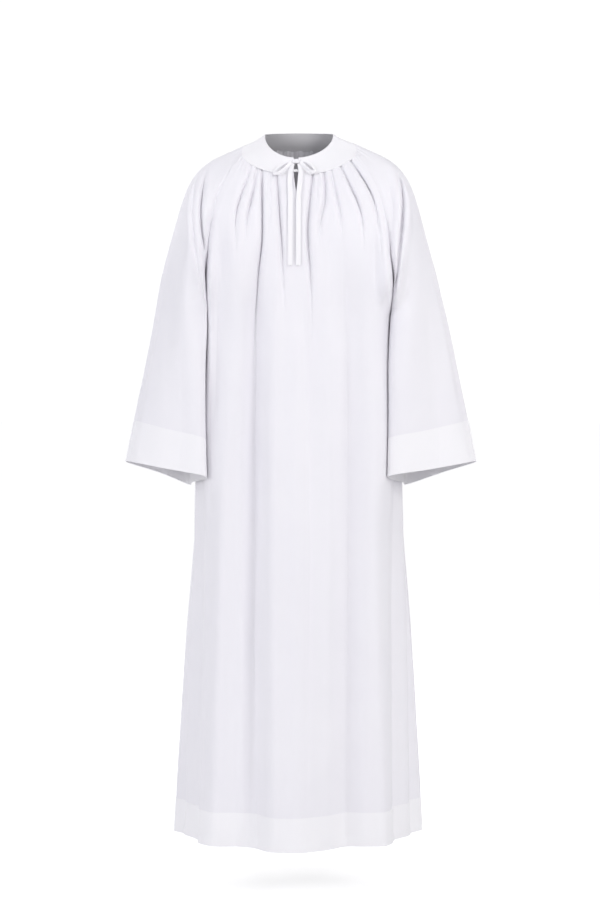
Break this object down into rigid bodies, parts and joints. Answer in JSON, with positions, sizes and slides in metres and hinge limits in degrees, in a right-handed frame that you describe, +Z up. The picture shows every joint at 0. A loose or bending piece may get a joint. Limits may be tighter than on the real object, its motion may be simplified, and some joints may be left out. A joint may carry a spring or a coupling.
{
  "type": "alb robe",
  "caption": "Floor-length white alb robe as worn: gathered round neck yoke with a tied front slit, wide raglan sleeves, deep turned-up cuffs and hem, hollow inside.",
  "frame": {"origin": "middle of the wearer's neck, at the height of the top of the yoke", "axes": "+Z up, the wearer faces -Y, the wearer's left is +X"},
  "size_m": [0.745, 0.4363, 1.48],
  "materials": {
    "white_cloth": "matte plain weave, one layer",
    "white_double_cloth": "matte plain weave, two layers",
    "tie_cloth": "matte plain weave, narrow flat tube"
  },
  "bodies": {
    "root": {"front_panel": "white_cloth", "back_panel": "white_cloth", "sleeve_left": "white_cloth", "sleeve_right": "white_cloth", "neck_yoke": "white_double_cloth", "cuff_left": "white_double_cloth", "cuff_right": "white_double_cloth", "hem_front": "white_double_cloth", "hem_back": "white_double_cloth", "neck_bar": "tie_cloth", "tie_knot": "tie_cloth", "tie_loop_left": "tie_cloth", "tie_loop_right": "tie_cloth", "tie_end_left": "tie_cloth", "tie_end_right": "tie_cloth"}
  },
  "joints": []
}
